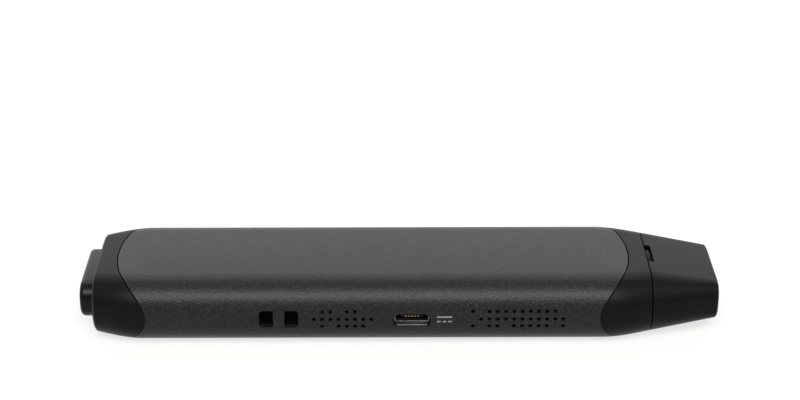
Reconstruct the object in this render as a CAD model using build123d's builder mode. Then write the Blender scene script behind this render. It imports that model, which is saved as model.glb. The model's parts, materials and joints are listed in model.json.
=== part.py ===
from build123d import *
import os
from math import atan2, cos, degrees, radians, sin, sqrt

# An HDMI stick computer: a rounded sleeve with a black housing at each end,
# a pull-off cap over the HDMI plug, a power button in the far end, and a fan,
# a circuit board and its connectors inside.
#
# Millimetres. X runs along the stick, towards the capped plug. Y runs across
# it, towards the side with the two USB sockets. Z is up, and the stick lies
# on Z 0 with its middle over the origin.


# Sizes

# Case, across: a flat top, round shoulders and slightly bowed sides
case_width = 33.9
case_height = 14.9

# How far the case draws in on each side, and above and below, where the cap
# meets the collar, at the tip of the cap, and at the flat end by the button
seam_side_draw = 2.05
seam_top_draw = 0.5
tip_side_draw = 6.0
tip_top_draw = 3.1
rear_side_draw = 2.55
rear_top_draw = 0.75

# Radii of the sides and shoulders, as shares of the height there
case_side_share = 0.6376
case_shoulder_share = 0.4698
seam_side_share = 0.5396
seam_shoulder_share = 0.4892
tip_side_share = 1.3793
tip_shoulder_share = 0.3448
rear_side_share = 0.597
rear_shoulder_share = 0.4701

# Case, along
straight_length = 104.9
collar_taper_length = 7.2
cap_length = 14.95
rear_taper_length = 7.55
button_reach = 3.3
taper_blend = 7.0
tip_edge_chamfer = 0.4
rear_edge_chamfer = 0.45

# Clearances
seam_gap = 0.25
fit_gap = 0.15
slide_gap = 0.2
overrun = 1.0

# Outer sleeve: its ends bow outwards like half an ellipse, seen from above
sleeve_wall = 1.3
bow_depth = 9.67
bow_side_margin = 0.4
front_bow_reach = 3.2
rear_bow_reach = 3.15

# Vent holes: columns are counted along X, rows from the top down
vent_pitch = 1.75
vent_diameter = 0.9
small_vent_start = -18.17
large_vent_start = 15.65
small_vents = ([1, 2, 4, 5], [0, 1, 2, 3, 4, 5, 6, 7], [1, 3, 4, 5, 6])
power_large_vents = (
    [0, 2, 3, 4, 5, 6, 7, 8, 9, 10],
    [1, 2, 3, 4, 5, 6, 7, 8, 9, 10, 11],
    [0, 2, 3, 5, 6, 7, 8, 9, 11],
)
usb_large_vents = (
    [1, 3, 4, 5, 6, 7, 8, 9, 10, 11],
    [0, 1, 2, 3, 4, 5, 6, 7, 8, 9, 11],
    [1, 2, 4, 5, 6, 7, 8, 9, 10],
)

# Strap eye: two holes with a strip of the sleeve's wall between them
strap_x = -25.65
strap_width = 8.4
strap_height = 4.0
strap_bar_width = 2.4
strap_corner_radius = 0.8
strap_depth = 5.0
strap_pocket_wall = 0.7

# USB sockets
usb3_x = 0.28
usb2_x = -20.8
usb_mouth_width = 13.3
usb_mouth_height = 5.95
usb_mouth_radius = 0.5
usb_shell_width = 13.1
usb_shell_height = 5.72
usb_shell_length = 10.8
usb_shell_wall = 0.3
usb_shell_radius = 0.6
usb_shell_setback = 2.6
usb_tongue_width = 11.1
usb_tongue_height = 1.85
usb_tongue_setback = 0.55
usb_tongue_radius = 0.4
usb_back_length = 1.9
usb_contact_length = 7.0
usb_contact_width = 1.0
usb_contact_height = 0.15
usb_contact_setback = 0.9
usb2_contact_pitch = 2.3
usb2_contact_count = 4
usb3_contact_pitch = 2.0
usb3_contact_count = 5
usb_spring_spacing = 5.4
usb_spring_width = 1.3
usb_spring_length = 2.6
usb_spring_height = 0.55
usb_spring_setback = 2.2

# Audio jack
jack_x = -37.1
jack_mouth_diameter = 6.95
jack_ring_diameter = 5.65
jack_ring_length = 2.2
jack_nose_diameter = 4.4
jack_bore_diameter = 3.6
jack_bore_length = 11.0
jack_mouth_chamfer = 0.3
jack_setback = 1.5
jack_body_width = 6.4
jack_body_height = 5.5
jack_body_length = 12.0
jack_spring_width = 0.8
jack_spring_height = 0.5
jack_spring_length = 3.0

# Micro-USB power socket, with its wide side down
power_x = 2.67
power_mouth_width = 7.9
power_mouth_height = 2.95
power_mouth_shoulder = 1.1
power_drop = 0.2
power_shell_width = 7.5
power_shell_height = 2.5
power_shell_shoulder = 1.0
power_shell_wall = 0.25
power_shell_length = 5.6
power_setback = 1.5
power_tongue_width = 4.6
power_tongue_height = 0.7
power_tongue_length = 4.2
power_back_length = 1.2

# Chassis tray, which the sleeve slides over
tray_wall = 1.0
tray_rise = 3.45
tray_lap = 1.5
boss_diameter = 4.2
rib_width = 1.0
rib_length = 18.0
front_rib_x = 30.0
rear_rib_x = -44.0
screw_pitch_x = 40.6
screw_side_margin = 2.35
screw_centre_x = -10.15

# Housings at the ends
spigot_wall = 1.15
front_wall = 1.6
end_wall = 1.6

# Power button
button_width = 20.9
button_height = 8.3
button_corner_radius = 3.7
button_edge_radius = 1.0
button_travel = 0.45
flange_gap = 0.1
flange_lip = 0.5
flange_thickness = 1.0
stem_diameter = 3.0
button_hollow_wall = 1.4

# Main board
board_side_margin = 4.55
board_thickness = 1.0
board_front_setback = 4.4
board_rear_setback = 5.35
board_hole_diameter = 1.7
board_corner_radius = 1.0

# Button switch
switch_length = 3.6
switch_width = 6.0
switch_height = 3.5
plunger_length = 1.4
plunger_width = 2.6
plunger_height = 1.2
plunger_gap = 0.1

# HDMI plug
plug_gap = 0.1
plug_width = 13.9
plug_height = 4.45
plug_chamfer = 1.2
chamfer_growth_share = 0.586
plug_shell_wall = 0.35
plug_reach = 11.9
plug_insert_depth = 8.6
plug_slot_width = 11.9
plug_slot_height = 2.2
plug_hole_setback = 5.2
plug_hole_spacing = 6.4
plug_hole_length = 2.6
plug_hole_width = 2.0
plug_body_length = 5.0
plug_body_width = 15.2
plug_body_rim = 0.4
plug_contact_pitch = 0.5
plug_contact_count = 19
plug_contact_width = 0.3
plug_contact_height = 0.15
plug_contact_length = 6.0

# Collar's raised lip, which the cap grips
lip_width = 17.4
lip_height = 7.8
lip_length = 1.5
lip_radius = 1.5

# HDMI cap
cap_wall = 1.5
cap_plug_gap = 0.35
cap_tip_gap = 0.5
cap_core_margin = 3.35
cap_core_height = 5.0
cap_core_relief = 0.6
notch_length = 7.4
notch_width = 1.5
notch_depth = 1.4
notch_crown_width = 0.7
notch_crown_drop = 0.2

# Fan
fan_x = 25.3
fan_y = 3.2
fan_lift = 0.2
fan_height = 5.1
fan_base = 0.5
fan_cover_thickness = 0.4
fan_wall = 0.7
volute_radius = 9.2
volute_growth = 0.6
fan_outlet_reach = 11.4
fan_intake_diameter = 12.6
hub_diameter = 8.4
hub_wall = 0.6
rotor_diameter = 15.6
blade_count = 17
blade_thickness = 0.35
blade_height = 3.4
blade_lean = 32.0
rotor_lift = 0.5
magnet_thickness = 0.8
magnet_height = 2.0
shaft_diameter = 1.2
shaft_gap = 0.03
bearing_diameter = 2.4
bearing_length = 2.6
stator_diameter = 4.6
stator_height = 1.6
stator_pole_count = 6
stator_slot_width = 0.7

# Cooling fins and heat spreader
fin_depth = 5.0
fin_count = 12
fin_thickness = 0.3
fin_pitch = 1.65
spreader_thickness = 0.8
spreader_width = 25.0
spreader_rear_margin = 3.0
spreader_front_margin = 0.7
spreader_corner_radius = 1.5
pocket_size = 15.0
pocket_wall = 0.8
standoff_diameter = 3.4
screw_diameter = 1.5
screw_head_diameter = 2.6
screw_head_height = 0.6
screw_bite = 0.9
screw_socket_depth = 0.3
screw_socket_length = 1.4
screw_socket_width = 0.35

# Chips
processor_x = -11.0
processor_y = -4.3
processor_size = 14.0
processor_height = 1.3
thermal_pad_thickness = 0.5
memory_x = -33.8
memory_y = -3.6
memory_length = 8.0
memory_width = 9.0
memory_height = 1.0
memory_pitch = 8.8
memory_count = 2
storage_x = -49.0
storage_y = -6.0
storage_length = 11.5
storage_width = 10.0
storage_height = 1.0
wifi_x = -49.5
wifi_y = 6.2
wifi_length = 10.0
wifi_width = 11.0
wifi_height = 1.7
power_chip_x = 9.0
power_chip_y = -3.0
power_chip_size = 5.0
power_chip_height = 0.9
coil_x = -22.0
coil_y = -5.0
coil_size = 3.0
coil_height = 1.8
coil_pitch = 3.8
coil_count = 2
antenna_x = -56.0
antenna_length = 2.0
antenna_width = 7.0
antenna_height = 1.0
antenna_spacing = 14.5
capacitor_x = 39.5
capacitor_length = 1.0
capacitor_width = 1.6
capacitor_height = 0.8
capacitor_pitch = 2.6
capacitor_count = 5


# Places worked out from the sizes



def section(side_draw, top_draw, side_share, shoulder_share):
    """The width, height, side radius and shoulder radius of the case at one place."""
    width = case_width - 2 * side_draw
    height = case_height - 2 * top_draw
    return width, height, side_share * height, shoulder_share * height


body_section = section(0, 0, case_side_share, case_shoulder_share)
seam_section = section(seam_side_draw, seam_top_draw, seam_side_share, seam_shoulder_share)
tip_section = section(tip_side_draw, tip_top_draw, tip_side_share, tip_shoulder_share)
rear_section = section(rear_side_draw, rear_top_draw, rear_side_share, rear_shoulder_share)
seam_top_z = case_height - seam_top_draw

axis_z = case_height / 2
total_length = (
    button_reach + rear_taper_length + straight_length + collar_taper_length + cap_length
)
tip_x = total_length / 2
cap_seam_x = tip_x - cap_length
front_taper_x = cap_seam_x - collar_taper_length
rear_taper_x = front_taper_x - straight_length
rear_end_x = rear_taper_x - rear_taper_length
button_face_x = rear_end_x - button_reach
side_y = case_width / 2
bow_width = case_width + 2 * bow_side_margin
board_width = case_width - 2 * board_side_margin
screw_pitch_y = board_width - 2 * screw_side_margin
tray_height = axis_z + tray_rise

front_bow_x = front_taper_x + front_bow_reach - bow_depth
rear_bow_x = rear_taper_x - rear_bow_reach + bow_depth
front_spigot_x = front_bow_x - tray_lap
rear_spigot_x = rear_bow_x + tray_lap

spigot_inset = sleeve_wall + fit_gap
housing_inset = spigot_inset + spigot_wall
tray_inset = spigot_inset
tray_room_inset = tray_inset + tray_wall
tray_front_x = front_spigot_x - fit_gap
tray_rear_x = rear_spigot_x + fit_gap
tray_middle_x = (tray_front_x + tray_rear_x) / 2

board_top_z = axis_z - usb_shell_height / 2
board_bottom_z = board_top_z - board_thickness
board_front_x = cap_seam_x - front_wall - board_front_setback
board_rear_x = rear_end_x + end_wall + board_rear_setback
board_length = board_front_x - board_rear_x
board_middle_x = (board_front_x + board_rear_x) / 2
spreader_z = axis_z + usb_shell_height / 2

usb_front_y = side_y - usb_shell_setback
usb_back_y = usb_front_y - usb_shell_length + usb_shell_wall
jack_front_y = side_y - jack_setback
jack_spring_y = jack_front_y - jack_ring_length
power_front_y = -side_y + power_setback
plug_tip_x = cap_seam_x + plug_reach
notch_floor_z = seam_top_z - notch_depth
large_vent_columns = 1 + max(max(row) for row in usb_large_vents)
small_vent_columns = 1 + max(max(row) for row in small_vents)
large_vent_span = vent_pitch * (large_vent_columns - 1)
small_vent_span = vent_pitch * (small_vent_columns - 1)
large_vent_middle_x = large_vent_start + large_vent_span / 2
small_vent_middle_x = small_vent_start + small_vent_span / 2
large_window_width = large_vent_span + vent_pitch
small_window_width = small_vent_span + vent_pitch
window_height = len(usb_large_vents) * vent_pitch
tray_floor_z = tray_room_inset
window_cut = 2 * tray_room_inset

flange_x = rear_end_x + end_wall + flange_gap
switch_level = board_top_z + switch_height / 2 - axis_z
plug_slot_x = plug_tip_x - plug_insert_depth
fan_floor_z = board_top_z + fan_lift
fan_top_z = fan_floor_z + fan_height
fan_outlet_y = fan_y - fan_outlet_reach
rotor_z = fan_floor_z + fan_base + rotor_lift
hub_roof_z = rotor_z + blade_height - hub_wall
fin_front_y = fan_outlet_y - slide_gap - fin_depth
spreader_rear_x = screw_centre_x - screw_pitch_x / 2 - spreader_rear_margin
spreader_front_x = fan_x + volute_radius + volute_growth + fan_wall + spreader_front_margin
spreader_middle_x = (spreader_front_x + spreader_rear_x) / 2
pocket_floor_z = board_top_z + processor_height + thermal_pad_thickness
blade_middle = (
    (hub_diameter + rotor_diameter) / 4 * cos(radians(blade_lean / 3)),
    -(hub_diameter + rotor_diameter) / 4 * sin(radians(blade_lean / 3)),
)
blade_tip = (
    rotor_diameter / 2 * cos(radians(blade_lean)),
    -rotor_diameter / 2 * sin(radians(blade_lean)),
)
plunger_tip_x = board_rear_x - plunger_length
stem_end_x = plunger_tip_x - plunger_gap
power_riser_length = board_width / 2 + power_front_y + power_shell_length
power_riser_y = power_front_y + power_shell_length - power_riser_length / 2


# Planes and shapes that several pieces share


def across(x):
    """The plane that cuts the stick at x; its own x is Y and its own y is Z."""
    return Plane((x, 0, axis_z), x_dir=(0, 1, 0), z_dir=(1, 0, 0))


def upright(y):
    """The plane along the stick at y, seen from the power socket's side."""
    return Plane((0, y, axis_z), x_dir=(1, 0, 0), z_dir=(0, -1, 0))


def case_outline(width, height, side_radius, shoulder_radius, inset=0):
    """The case's outline across its length, drawn inwards by inset."""
    top = height / 2 - inset
    side_centre = width / 2 - side_radius
    shoulder_level = height / 2 - shoulder_radius
    shoulder_centre = side_centre + sqrt(
        (side_radius - shoulder_radius) ** 2 - shoulder_level**2
    )
    meet_angle = degrees(atan2(shoulder_level, shoulder_centre - side_centre))
    shoulder_angle = 90 - meet_angle
    with BuildSketch() as outline:
        with BuildLine():
            for side, middle in ((1, 0), (-1, 180)):
                CenterArc(
                    (side * side_centre, 0),
                    side_radius - inset,
                    middle - meet_angle,
                    2 * meet_angle,
                )
            for y, z, start in (
                (shoulder_centre, shoulder_level, meet_angle),
                (-shoulder_centre, shoulder_level, 90),
                (-shoulder_centre, -shoulder_level, 180 + meet_angle),
                (shoulder_centre, -shoulder_level, 270),
            ):
                CenterArc((y, z), shoulder_radius - inset, start, shoulder_angle)
            for level in (top, -top):
                Line((-shoulder_centre, level), (shoulder_centre, level))
        make_face()
    return outline.sketch


def mixed_outline(first, second, share, inset=0):
    """The outline a share of the way from the first section to the second."""
    sizes = [a + (b - a) * share for a, b in zip(first, second)]
    return case_outline(*sizes, inset)


def body_prism(start_x, end_x, inset):
    """A straight length of the body's section, drawn in by inset."""
    with BuildPart() as prism:
        with BuildSketch(across(start_x)):
            add(case_outline(*body_section, inset))
        extrude(amount=end_x - start_x)
    return prism.part


def round_bar(start_x, length, width, height, radius):
    """A bar along X with rounded corners, about the stick's axis."""
    with BuildPart() as bar:
        with BuildSketch(across(start_x)):
            RectangleRounded(width, height, radius)
        extrude(amount=length)
    return bar.part


def plug_outline(grow=0):
    """The HDMI plug's outline: a wide top with cut lower corners."""
    with BuildSketch() as outline:
        Rectangle(plug_width + 2 * grow, plug_height + 2 * grow)
        chamfer(
            outline.vertices().group_by(Axis.Y)[0],
            plug_chamfer + grow * chamfer_growth_share,
        )
    return outline.sketch


def power_outline(width, height, shoulder):
    """The power socket's outline: its upper corners are cut back."""
    with BuildSketch() as outline:
        Rectangle(width, height)
        chamfer(outline.vertices().group_by(Axis.Y)[-1], shoulder)
    return outline.sketch


def sleeve_plan(grow=0):
    """The sleeve seen from above, its bowed ends moved outwards by grow."""
    with BuildSketch() as plan:
        with Locations(((front_bow_x + rear_bow_x) / 2, 0)):
            Rectangle(front_bow_x - rear_bow_x, bow_width + 2 * grow)
        with Locations((front_bow_x, 0), (rear_bow_x, 0)):
            Ellipse(bow_depth + grow, bow_width / 2 + grow)
    return plan.sketch


def long_box(start_x, end_x):
    """Everything between two planes across the stick."""
    with BuildPart() as box:
        with BuildSketch(across(start_x)):
            Rectangle(case_width + 2 * overrun, case_height + 2 * overrun)
        extrude(amount=end_x - start_x)
    return box.part


def vent_places(start_x, rows):
    """The centres of one group of vent holes, as X and height over the axis."""
    return [
        (start_x + vent_pitch * column, vent_pitch * (1 - row))
        for row, columns in enumerate(rows)
        for column in columns
    ]


# The whole case as one solid, which the outer pieces are cut from

collar_stations = {
    front_taper_x - taper_blend / 2: 0,
    front_taper_x: taper_blend / collar_taper_length / 8,
    front_taper_x + taper_blend / 2: taper_blend / collar_taper_length / 2,
    cap_seam_x: 1,
}
rear_stations = {
    rear_taper_x + taper_blend / 2: 0,
    rear_taper_x: taper_blend / rear_taper_length / 8,
    rear_taper_x - taper_blend / 2: taper_blend / rear_taper_length / 2,
    rear_end_x: 1,
}

with BuildPart() as case_form:
    with BuildSketch(across(rear_taper_x + taper_blend / 2)):
        add(case_outline(*body_section))
    extrude(amount=straight_length - taper_blend)
    for x, share in collar_stations.items():
        with BuildSketch(across(x)):
            add(mixed_outline(body_section, seam_section, share))
    loft()
    for x, share in rear_stations.items():
        with BuildSketch(across(x)):
            add(mixed_outline(body_section, rear_section, share))
    loft()
    for x, section in ((cap_seam_x, seam_section), (tip_x, tip_section)):
        with BuildSketch(across(x)):
            add(case_outline(*section))
    loft(ruled=True)

with BuildPart() as sleeve_zone:
    with BuildSketch(Plane.XY.offset(-overrun)):
        add(sleeve_plan())
    extrude(amount=case_height + 2 * overrun)

with BuildPart() as sleeve_room:
    with BuildSketch(Plane.XY.offset(-overrun)):
        add(sleeve_plan(seam_gap))
    extrude(amount=case_height + 2 * overrun)


# Outer sleeve

with BuildPart() as outer_sleeve:
    add(case_form.part)
    add(sleeve_zone.part, mode=Mode.INTERSECT)
    add(body_prism(button_face_x, tip_x, sleeve_wall), mode=Mode.SUBTRACT)
    with BuildSketch(upright(side_y + overrun)):
        with Locations((usb3_x, 0), (usb2_x, 0)):
            RectangleRounded(usb_mouth_width, usb_mouth_height, usb_mouth_radius)
        with Locations((jack_x, 0)):
            Circle(jack_mouth_diameter / 2)
        with Locations(*vent_places(large_vent_start, usb_large_vents)):
            Circle(vent_diameter / 2)
    extrude(amount=overrun + 2 * sleeve_wall, mode=Mode.SUBTRACT)
    with BuildSketch(upright(-side_y - overrun)):
        with Locations((strap_x, 0)):
            RectangleRounded(strap_width, strap_height, strap_corner_radius)
            Rectangle(strap_bar_width, strap_height, mode=Mode.SUBTRACT)
        with Locations(*vent_places(small_vent_start, small_vents)):
            Circle(vent_diameter / 2)
        with Locations(*vent_places(large_vent_start, power_large_vents)):
            Circle(vent_diameter / 2)
    extrude(amount=-overrun - 2 * sleeve_wall, mode=Mode.SUBTRACT)
    with BuildSketch(upright(-side_y - overrun)):
        with Locations((power_x, -power_drop)):
            add(power_outline(power_mouth_width, power_mouth_height, power_mouth_shoulder))
    extrude(amount=-overrun - 2 * sleeve_wall, mode=Mode.SUBTRACT)


# Front collar: the black housing between the sleeve and the cap. Its spigot
# fits inside the sleeve, and its lip inside the cap.

with BuildPart() as front_collar:
    add(case_form.part)
    add(sleeve_room.part, mode=Mode.SUBTRACT)
    add(long_box(front_bow_x, cap_seam_x), mode=Mode.INTERSECT)
    add(body_prism(front_spigot_x, front_taper_x, spigot_inset))
    add(
        body_prism(front_spigot_x, cap_seam_x - front_wall, housing_inset),
        mode=Mode.SUBTRACT,
    )
    add(round_bar(cap_seam_x, lip_length, lip_width, lip_height, lip_radius))
    with BuildSketch(across(cap_seam_x - 2 * front_wall)):
        add(plug_outline(plug_gap))
    extrude(amount=2 * front_wall + 2 * lip_length, mode=Mode.SUBTRACT)


# HDMI cap: a hollow cap whose socket fits the plug

with BuildPart() as cap_core:
    for x, width in (
        (cap_seam_x, seam_section[0]),
        (plug_tip_x + cap_tip_gap, tip_section[0]),
    ):
        with BuildSketch(across(x)):
            Rectangle(width - 2 * cap_wall - 2 * cap_core_relief, cap_core_height)
    loft(ruled=True)
    with BuildSketch(across(cap_seam_x - overrun)):
        Rectangle(plug_width + 2 * cap_core_margin, case_height + 2 * overrun)
    extrude(amount=cap_length + 2 * overrun, mode=Mode.SUBTRACT)

with BuildPart() as hdmi_cap:
    add(case_form.part)
    add(long_box(cap_seam_x + seam_gap, tip_x + overrun), mode=Mode.INTERSECT)
    chamfer(hdmi_cap.edges().group_by(Axis.X)[-1], tip_edge_chamfer)
    add(cap_core.part, mode=Mode.SUBTRACT)
    with BuildSketch(across(cap_seam_x)):
        add(plug_outline(cap_plug_gap))
    extrude(amount=plug_reach + cap_tip_gap, mode=Mode.SUBTRACT)
    add(
        round_bar(
            cap_seam_x,
            lip_length + cap_tip_gap,
            lip_width + 2 * slide_gap,
            lip_height + 2 * slide_gap,
            lip_radius + slide_gap,
        ),
        mode=Mode.SUBTRACT,
    )
    with BuildSketch(Plane.XY.offset(notch_floor_z)):
        with Locations((cap_seam_x + notch_width / 2, 0)):
            Rectangle(notch_width, notch_length)
    extrude(amount=notch_depth + overrun, mode=Mode.SUBTRACT)
    with BuildSketch(across(cap_seam_x + seam_gap)):
        with BuildLine():
            ThreePointArc(
                (-notch_length / 2, notch_floor_z - axis_z),
                (0, seam_top_z - axis_z - notch_crown_drop),
                (notch_length / 2, notch_floor_z - axis_z),
            )
            Line(
                (notch_length / 2, notch_floor_z - axis_z),
                (-notch_length / 2, notch_floor_z - axis_z),
            )
        make_face()
    extrude(amount=notch_crown_width)


# Rear housing: the black end around the power button

with BuildPart() as rear_housing:
    add(case_form.part)
    add(sleeve_room.part, mode=Mode.SUBTRACT)
    add(long_box(rear_end_x, rear_bow_x), mode=Mode.INTERSECT)
    chamfer(rear_housing.edges().group_by(Axis.X)[0], rear_edge_chamfer)
    add(body_prism(rear_taper_x, rear_spigot_x, spigot_inset))
    add(
        body_prism(rear_end_x + end_wall, rear_spigot_x, housing_inset),
        mode=Mode.SUBTRACT,
    )
    add(
        round_bar(
            rear_end_x - overrun,
            end_wall + 2 * overrun,
            button_width + 2 * slide_gap,
            button_height + 2 * slide_gap,
            button_corner_radius + slide_gap,
        ),
        mode=Mode.SUBTRACT,
    )


# Power button: a hollow block with a flange that stops it inside the housing

with BuildPart() as power_button:
    add(
        round_bar(
            button_face_x,
            button_reach + end_wall + flange_gap,
            button_width,
            button_height,
            button_corner_radius,
        )
    )
    fillet(power_button.edges().group_by(Axis.X)[0], button_edge_radius)
    add(
        round_bar(
            flange_x,
            flange_thickness,
            button_width + 2 * flange_lip,
            button_height + 2 * flange_lip,
            button_corner_radius + flange_lip,
        )
    )
    add(
        round_bar(
            button_face_x + button_hollow_wall,
            flange_x + flange_thickness - button_face_x,
            button_width - 2 * button_hollow_wall,
            button_height - 2 * button_hollow_wall,
            button_corner_radius - button_hollow_wall,
        ),
        mode=Mode.SUBTRACT,
    )
    with BuildSketch(across(button_face_x + button_hollow_wall).offset(-fit_gap)):
        with Locations((0, switch_level)):
            Circle(stem_diameter / 2)
    extrude(amount=stem_end_x - button_face_x - button_hollow_wall + fit_gap)


# Chassis tray

with BuildPart() as strap_pocket:
    with BuildSketch(upright(-side_y)):
        with Locations((strap_x, 0)):
            RectangleRounded(
                strap_width + 2 * strap_pocket_wall,
                strap_height + 2 * strap_pocket_wall,
                strap_corner_radius + strap_pocket_wall,
            )
    extrude(amount=-strap_depth)
    add(body_prism(tray_rear_x, tray_front_x, tray_inset), mode=Mode.INTERSECT)

with BuildPart() as chassis_tray:
    add(body_prism(tray_rear_x, tray_front_x, tray_inset))
    add(body_prism(tray_rear_x, tray_front_x, tray_room_inset), mode=Mode.SUBTRACT)
    with BuildSketch(Plane.XY.offset(tray_height)):
        with Locations((tray_middle_x, 0)):
            Rectangle(tray_front_x - tray_rear_x + 2 * overrun, case_width)
    extrude(amount=case_height, mode=Mode.SUBTRACT)
    add(strap_pocket.part)
    with BuildSketch(upright(-side_y)):
        with Locations((strap_x, 0)):
            RectangleRounded(strap_width, strap_height, strap_corner_radius)
    extrude(amount=strap_pocket_wall - strap_depth, mode=Mode.SUBTRACT)
    with BuildSketch(upright(side_y)):
        for x, width, height in (
            (usb3_x, usb_mouth_width, usb_mouth_height),
            (usb2_x, usb_mouth_width, usb_mouth_height),
            (jack_x, jack_body_width + 2 * slide_gap, usb_mouth_height),
        ):
            with Locations((x, case_height / 2 - height / 2)):
                Rectangle(width, case_height)
        with Locations((large_vent_middle_x, 0)):
            RectangleRounded(large_window_width, window_height, vent_pitch / 2)
    extrude(amount=window_cut, mode=Mode.SUBTRACT)
    with BuildSketch(upright(-side_y)):
        with Locations((power_x, -power_drop)):
            Rectangle(power_mouth_width, power_mouth_height)
        with Locations((small_vent_middle_x, 0)):
            RectangleRounded(small_window_width, window_height, vent_pitch / 2)
        with Locations((large_vent_middle_x, 0)):
            RectangleRounded(large_window_width, window_height, vent_pitch / 2)
    extrude(amount=-window_cut, mode=Mode.SUBTRACT)
    with BuildSketch(Plane.XY.offset(tray_floor_z)):
        with Locations((screw_centre_x, 0)):
            with GridLocations(screw_pitch_x, screw_pitch_y, 2, 2):
                Circle(boss_diameter / 2)
        with Locations((front_rib_x, 0), (rear_rib_x, 0)):
            Rectangle(rib_width, rib_length)
    extrude(amount=board_bottom_z - tray_floor_z)
    with BuildSketch(Plane.XY.offset(board_bottom_z)):
        with Locations((screw_centre_x, 0)):
            with GridLocations(screw_pitch_x, screw_pitch_y, 2, 2):
                Circle(screw_diameter / 2 + shaft_gap)
    extrude(amount=-screw_bite, mode=Mode.SUBTRACT)


# Main board

with BuildPart() as main_board:
    with BuildSketch(Plane.XY.offset(board_bottom_z)):
        with Locations((board_middle_x, 0)):
            RectangleRounded(board_length, board_width, board_corner_radius)
        with Locations((screw_centre_x, 0)):
            with GridLocations(screw_pitch_x, screw_pitch_y, 2, 2):
                Circle(board_hole_diameter / 2, mode=Mode.SUBTRACT)
    extrude(amount=board_thickness)


# USB sockets


def usb_shell(x):
    """A folded metal shell, open at the front, with two spring dimples."""
    with BuildPart() as shell:
        with BuildSketch(upright(usb_front_y)):
            with Locations((x, 0)):
                RectangleRounded(usb_shell_width, usb_shell_height, usb_shell_radius)
        extrude(amount=usb_shell_length)
        with BuildSketch(upright(usb_front_y)):
            with Locations((x, 0)):
                RectangleRounded(
                    usb_shell_width - 2 * usb_shell_wall,
                    usb_shell_height - 2 * usb_shell_wall,
                    usb_shell_radius - usb_shell_wall,
                )
        extrude(amount=usb_shell_length - usb_shell_wall, mode=Mode.SUBTRACT)
        with BuildSketch(Plane.YZ.offset(x - usb_spring_width / 2)):
            with BuildLine():
                floor_z = axis_z - usb_shell_height / 2 + usb_shell_wall
                start = usb_front_y - usb_spring_setback
                ThreePointArc(
                    (start, floor_z),
                    (start - usb_spring_length / 2, floor_z + usb_spring_height),
                    (start - usb_spring_length, floor_z),
                )
                Line((start - usb_spring_length, floor_z), (start, floor_z))
            make_face()
        with Locations((-usb_spring_spacing / 2, 0, 0), (usb_spring_spacing / 2, 0, 0)):
            extrude(amount=usb_spring_width)
    return shell


def usb_tongue(x):
    """The moulded back of a socket and the tongue that carries its contacts."""
    with BuildPart() as tongue:
        with BuildSketch(upright(usb_back_y + usb_back_length)):
            with Locations((x, 0)):
                RectangleRounded(
                    usb_shell_width - 2 * usb_shell_wall,
                    usb_shell_height - 2 * usb_shell_wall,
                    usb_shell_radius - usb_shell_wall,
                )
        extrude(amount=usb_back_length)
        with BuildSketch(upright(usb_front_y - usb_tongue_setback)):
            with Locations((x, usb_tongue_height / 2)):
                Rectangle(usb_tongue_width, usb_tongue_height)
        extrude(amount=usb_front_y - usb_tongue_setback - usb_back_y)
        fillet(tongue.edges().group_by(Axis.Y)[-1], usb_tongue_radius)
    return tongue


def usb_contacts(x, pitch, count):
    """Flat contacts under a tongue."""
    with BuildPart() as contacts:
        with BuildSketch(Plane.XY.offset(axis_z)):
            with Locations(
                (x, usb_front_y - usb_contact_setback - usb_contact_length / 2)
            ):
                with GridLocations(pitch, pitch, count, 1):
                    Rectangle(usb_contact_width, usb_contact_length)
        extrude(amount=-usb_contact_height)
    return contacts


usb3_shell = usb_shell(usb3_x)
usb2_shell = usb_shell(usb2_x)
usb3_tongue = usb_tongue(usb3_x)
usb2_tongue = usb_tongue(usb2_x)
usb3_contacts = usb_contacts(usb3_x, usb3_contact_pitch, usb3_contact_count)
usb2_contacts = usb_contacts(usb2_x, usb2_contact_pitch, usb2_contact_count)


# Audio jack

with BuildPart() as audio_jack:
    with BuildSketch(upright(jack_front_y - jack_ring_length)):
        with Locations((jack_x, 0)):
            Rectangle(jack_body_width, jack_body_height)
    extrude(amount=jack_body_length)
    with BuildSketch(upright(jack_front_y)):
        with Locations((jack_x, 0)):
            Circle(jack_nose_diameter / 2)
    extrude(amount=jack_ring_length)
    with BuildSketch(Plane.XY.offset(board_top_z)):
        with Locations((jack_x, jack_front_y - jack_ring_length - jack_body_length / 2)):
            Rectangle(jack_body_width, jack_body_length)
    extrude(amount=axis_z - jack_body_height / 2 - board_top_z)
    with BuildSketch(upright(jack_front_y)):
        with Locations((jack_x, 0)):
            Circle(jack_bore_diameter / 2)
    extrude(amount=jack_bore_length, mode=Mode.SUBTRACT)
    chamfer(
        audio_jack.edges().filter_by(GeomType.CIRCLE).group_by(Axis.Y)[-1].sort_by(
            SortBy.RADIUS
        )[0],
        jack_mouth_chamfer,
    )
    with BuildSketch(upright(jack_spring_y)):
        with Locations((jack_x, -jack_bore_diameter / 2 - jack_spring_height / 2)):
            Rectangle(jack_spring_width + 2 * fit_gap, jack_spring_height + 2 * fit_gap)
    extrude(amount=jack_spring_length, mode=Mode.SUBTRACT)

with BuildPart() as jack_ring:
    with BuildSketch(upright(jack_front_y)):
        with Locations((jack_x, 0)):
            Circle(jack_ring_diameter / 2)
            Circle(jack_nose_diameter / 2, mode=Mode.SUBTRACT)
    extrude(amount=jack_ring_length)
    chamfer(
        jack_ring.edges().group_by(Axis.Y)[-1].sort_by(SortBy.RADIUS)[-1], jack_mouth_chamfer
    )

with BuildPart() as jack_contact:
    with BuildSketch(upright(jack_spring_y - fit_gap)):
        with Locations((jack_x, -jack_bore_diameter / 2 - jack_spring_height / 2)):
            Rectangle(jack_spring_width, jack_spring_height)
    extrude(amount=jack_spring_length - fit_gap)


# Micro-USB power socket

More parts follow.
